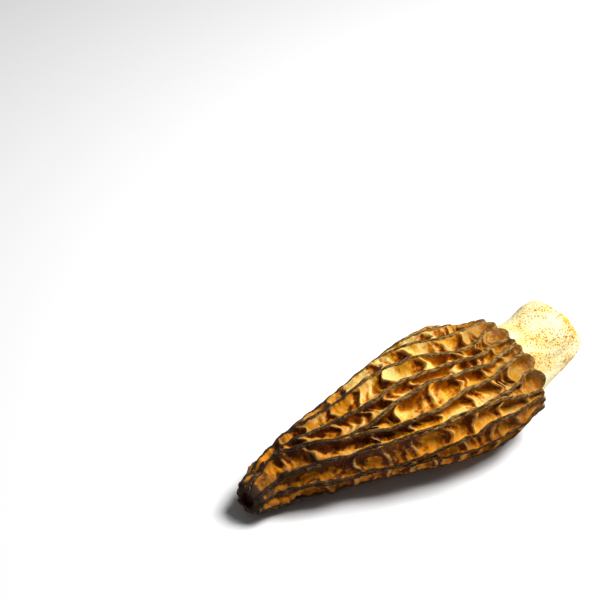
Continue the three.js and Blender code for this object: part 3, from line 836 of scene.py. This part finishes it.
# a velvet grain, fibres and fine wrinkles
velvet = flesh.relief(flesh.grain(9.0, detail=3), 0.35, 0.06)
fibre_relief = flesh.relief(fibres, 0.22, 0.15, under=velvet)
wrinkles = flesh.grain(1.9, detail=6, stretch=(1, 0.45, 0.45), lean=0.4)
wrinkle_relief = flesh.relief(wrinkles, 0.45, 0.4, under=fibre_relief)
flesh.feed(flesh.shader.inputs["Normal"], wrinkle_relief)
flesh.wear(ribbed_cap)

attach(ribbed_cap, "root")
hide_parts("cap")


# ---- stem --------------------------------------------------------------------------------------
# The hollow stalk that carried the cap: one tube of brittle cream flesh, mealy outside, with
# faint lengthwise folds and rust coloured specks. It grew out of the cap's mouth.

STEM_END = [14.8, 2.6, 5]  # from the cap's margin to the middle of the open end
STEM_BEND = 6  # how far it runs on straight before it bends
STEM_WALL = 1.4
STEM_FOLD = 0.28  # depth of its lengthwise folds
STEM_FOLDS = [[3, 0.6, 0], [5, 2, 0.9]]  # folds round it, turn of the first one, twist
FOLD_EASE = 0.35  # share of the free length over which they grow to their depth
RIM_START = 0.97  # share of the free length where the rounded rim of the open end starts
RIM_BULGE = 0.35  # how far the rim is rounded out
RIM_BACK = 0.25  # how far it is set back
BORE_START = 0.96  # share of the free length where the bore's wall starts
SOFT_BUMPS = 0.14  # heights of the bumps of its dried flesh
MEAL_BUMPS = 0.055
FINE_MEAL_BUMPS = 0.03
MEALY_FROM = [-0.05, 0.1]  # shares of the free length over which they grow up
RIM_MEALINESS = 0.8
BORE_MEALINESS = 0.5
STEM_COLUMNS = 260
STEM_ROWS = 120  # along the free length
ROOT_ROWS = 6
ROOT_LAST = 0.6  # distance between the root's last row and the first of the free length
RIM_ROWS = 9
BORE_ROWS = 24

base = cap_centre(np.array(1.0))
stem_onward = unit(base - cap_centre(np.array(1 - LINE_STEP)))
stem_bend = base + stem_onward * STEM_BEND
stem_end = base + STEM_END
stem_angle = np.linspace(0, 2 * np.pi, STEM_COLUMNS, endpoint=False)


def stem_ring(share, inset, ahead, mealiness=0.0):
    """Points round the stem's bent centre line, at a share of the way from the cap's margin."""
    centre = (1 - share) ** 2 * base + 2 * share * (1 - share) * stem_bend + share ** 2 * stem_end
    onward = unit((1 - share) * (stem_bend - base) + share * (stem_end - stem_bend))
    waves = [
        np.cos(count * stem_angle + turned - twist * share)
        for count, turned, twist in STEM_FOLDS
    ]
    fold_depth = STEM_FOLD * smooth(share, 0, FOLD_EASE)
    radius = curve_through(STEM_RADIUS, share) + fold_depth * (waves[0] + waves[1]) - inset
    points = points_round(centre, onward, stem_angle, radius, ahead + 0 * radius)
    if mealiness:
        soft = SOFT_BUMPS * rough(points * [0.4, 1, 1], 0.55, seed=41.3)
        coarse = MEAL_BUMPS * rough(points, 2.3, seed=7.7)
        fine = FINE_MEAL_BUMPS * rough(points, 5.1, seed=17.9)
        radius = radius + mealiness * (soft + (coarse + fine))
        points = points_round(centre, onward, stem_angle, radius, ahead + 0 * radius)
    return points


root_rows = [stem_ring(0, 0, -sunk) for sunk in np.linspace(STEM_ROOT, ROOT_LAST, ROOT_ROWS)]
outer_rows = [
    stem_ring(share_out, 0, 0, mealiness=smooth(share_out, *MEALY_FROM))
    for share_out in np.linspace(0, RIM_START, STEM_ROWS)
]
rim_rows = []
for turned in np.linspace(0, np.pi, RIM_ROWS + 2)[1:-1]:
    inset = STEM_WALL * (0.5 - 0.5 * np.cos(turned))
    ahead = RIM_BULGE * np.sin(turned) - RIM_BACK
    rim_rows.append(stem_ring(1, inset, ahead, mealiness=RIM_MEALINESS))
bore_rows = [
    stem_ring(share_in, STEM_WALL, 0, mealiness=BORE_MEALINESS)
    for share_in in np.linspace(BORE_START, 0, BORE_ROWS)
]
bore_rows += [stem_ring(0, STEM_WALL, -sunk) for sunk in (STEM_ROOT / 2, STEM_ROOT)]
stem_rows = np.array(root_rows + outer_rows + rim_rows + bore_rows)

# the last ring joins the first again, so the tube's wall is one closed skin
point_count = len(stem_rows) * STEM_COLUMNS
stem_faces = [
    [point % point_count for point in face]
    for face in tube_faces(len(stem_rows) + 1, STEM_COLUMNS)
]

# how far out along the stem each ring lies, 1 at the rim; in the bore it is 0.5 throughout, which
# has neither the root's stain nor the rim's
outward = np.concatenate([
    np.zeros(len(root_rows)),
    np.linspace(0, 1, len(outer_rows)),
    np.ones(len(rim_rows)),
    np.full(len(bore_rows), 0.5),
])
stem_traits = {"outward": np.repeat(outward, STEM_COLUMNS)}
mealy_stem = mesh_piece("mealy_stem", stem_rows.reshape(-1, 3), stem_faces, stem_traits)

STEM_WHITE = colour(208, 198, 158)
STEM_CREAM = colour(208, 190, 126)
STEM_YELLOW = colour(198, 150, 36)
RUST = colour(142, 76, 10)

meal = Finish("mealy_stem_flesh", 0.75)
meal.shader.inputs["Subsurface Weight"].default_value = 0.3
meal.shader.inputs["Subsurface Radius"].default_value = (1, 0.7, 0.35)
meal.shader.inputs["Subsurface Scale"].default_value = 1.5 * MM
along_stem = meal.trait("outward")

# from white to cream, with yellow blotches, and yellow and rust specks, more towards the end
blotches = meal.grain(0.28, detail=3, stretch=(0.6, 1, 1))
stem_colour = meal.blend(meal.span(blotches, 0.38, 0.6), STEM_WHITE, STEM_CREAM)
stem_colour = meal.blend(meal.span(blotches, 0.56, 0.74, 0, 0.8), stem_colour, STEM_YELLOW)
fine_specks = meal.grain(2.9, detail=2)
speckling = meal.maths("ADD", fine_specks, meal.span(blotches, 0.35, 0.7, -0.04, 0.09))
speckling = meal.maths("ADD", speckling, meal.span(along_stem, 0.4, 1.0, 0, 0.06))
stem_colour = meal.blend(meal.span(speckling, 0.57, 0.66, 0, 0.6), stem_colour, STEM_YELLOW)
stem_colour = meal.blend(meal.span(speckling, 0.62, 0.68, 0, 0.95), stem_colour, RUST)

# yellow stains where it leaves the cap, and on the rim of the open end
root_blotches = meal.span(blotches, 0.3, 0.54)
root_stain = meal.maths("MULTIPLY", meal.span(along_stem, 0.42, 0.1), root_blotches)
stem_colour = meal.blend(root_stain, stem_colour, STEM_YELLOW)
rim_blotches = meal.span(blotches, 0.44, 0.62)
rim_stain = meal.maths("MULTIPLY", meal.span(along_stem, 0.95, 1.0), rim_blotches)
rim_stain = meal.maths("MULTIPLY", rim_stain, meal.span(fine_specks, 0.35, 0.6, 0.2, 0.9))
stem_colour = meal.blend(rim_stain, stem_colour, STEM_YELLOW)
meal.feed(meal.shader.inputs["Base Color"], stem_colour)
meal.feed(meal.shader.inputs["Normal"], meal.relief(meal.grain(6.0, detail=4), 0.4, 0.1))
meal.wear(mealy_stem)

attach(mealy_stem, "root")
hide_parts("stem")


# ---- surface, light and camera -----------------------------------------------------------------
# Not part of the mushroom: a floor of pale paper, one soft square lamp high up beyond the stem's
# end, faint light from all round, and a camera that looks down along the cap from beside its tip.

FLOOR_HALF = 4000  # of its side
PAPER_GREY = 0.6
LAMP_WATTS = 4
LAMP_SIDE = 0.18  # in metres, as are the next two
LAMP_PLACE = Vector((0.175, -0.07, 0.365))
LAMP_AIM = Vector((0, 0, 0.01))
ROOM_LIGHT = 0.16

corners = [(-1, -1, 0), (1, -1, 0), (1, 1, 0), (-1, 1, 0)]
floor = mesh_piece("floor", np.array(corners) * FLOOR_HALF, [(0, 1, 2, 3)], {})
paper = Finish("white_paper", 0.9)
paper.shader.inputs["Base Color"].default_value = (PAPER_GREY, PAPER_GREY, PAPER_GREY, 1)
paper.wear(floor)

bulb = bpy.data.lights.new("lamp_above", "AREA")
bulb.energy = LAMP_WATTS
bulb.size = LAMP_SIDE
lamp = bpy.data.objects.new("lamp_above", bulb)
lamp.location = LAMP_PLACE
lamp.rotation_euler = (LAMP_AIM - LAMP_PLACE).to_track_quat("-Z", "Y").to_euler()
bpy.context.scene.collection.objects.link(lamp)

world = bpy.data.worlds.new("studio")
world.use_nodes = True
world.node_tree.nodes["Background"].inputs["Color"].default_value = (1, 1, 1, 1)
world.node_tree.nodes["Background"].inputs["Strength"].default_value = ROOM_LIGHT
bpy.context.scene.world = world
bpy.context.scene.view_settings.view_transform = "Standard"

CAMERA_TURN = math.radians(-29.2)
CAMERA_RISE = math.radians(38)
CAMERA_DISTANCE = 283.6
CAMERA_AIM = Vector((-7.95, 0.65, 8))
AIM_PIXEL = (379.7, 433.8)  # where the aim shows in a square picture of FRAME_PIXELS
FRAME_PIXELS = 600
LENS = 85
SENSOR = 36
NEAREST_SEEN = 0.01  # in metres

to_camera = Vector((
    math.sin(CAMERA_TURN) * math.cos(CAMERA_RISE),
    -math.cos(CAMERA_TURN) * math.cos(CAMERA_RISE),
    math.sin(CAMERA_RISE),
))
to_right = Vector((math.cos(CAMERA_TURN), math.sin(CAMERA_TURN), 0))
to_top = to_camera.cross(to_right)
per_pixel = CAMERA_DISTANCE * SENSOR / LENS / FRAME_PIXELS
aside = (AIM_PIXEL[0] - FRAME_PIXELS / 2) * per_pixel
below = (AIM_PIXEL[1] - FRAME_PIXELS / 2) * per_pixel
stand = CAMERA_AIM + to_camera * CAMERA_DISTANCE - to_right * aside + to_top * below
optics = bpy.data.cameras.new("camera")
optics.lens = LENS
optics.sensor_width = SENSOR
optics.clip_start = NEAREST_SEEN
camera = bpy.data.objects.new("camera", optics)
turning = Matrix((to_right, to_top, to_camera)).transposed().to_4x4()
camera.matrix_world = Matrix.Translation(stand * MM) @ turning
bpy.context.scene.collection.objects.link(camera)
bpy.context.scene.camera = camera
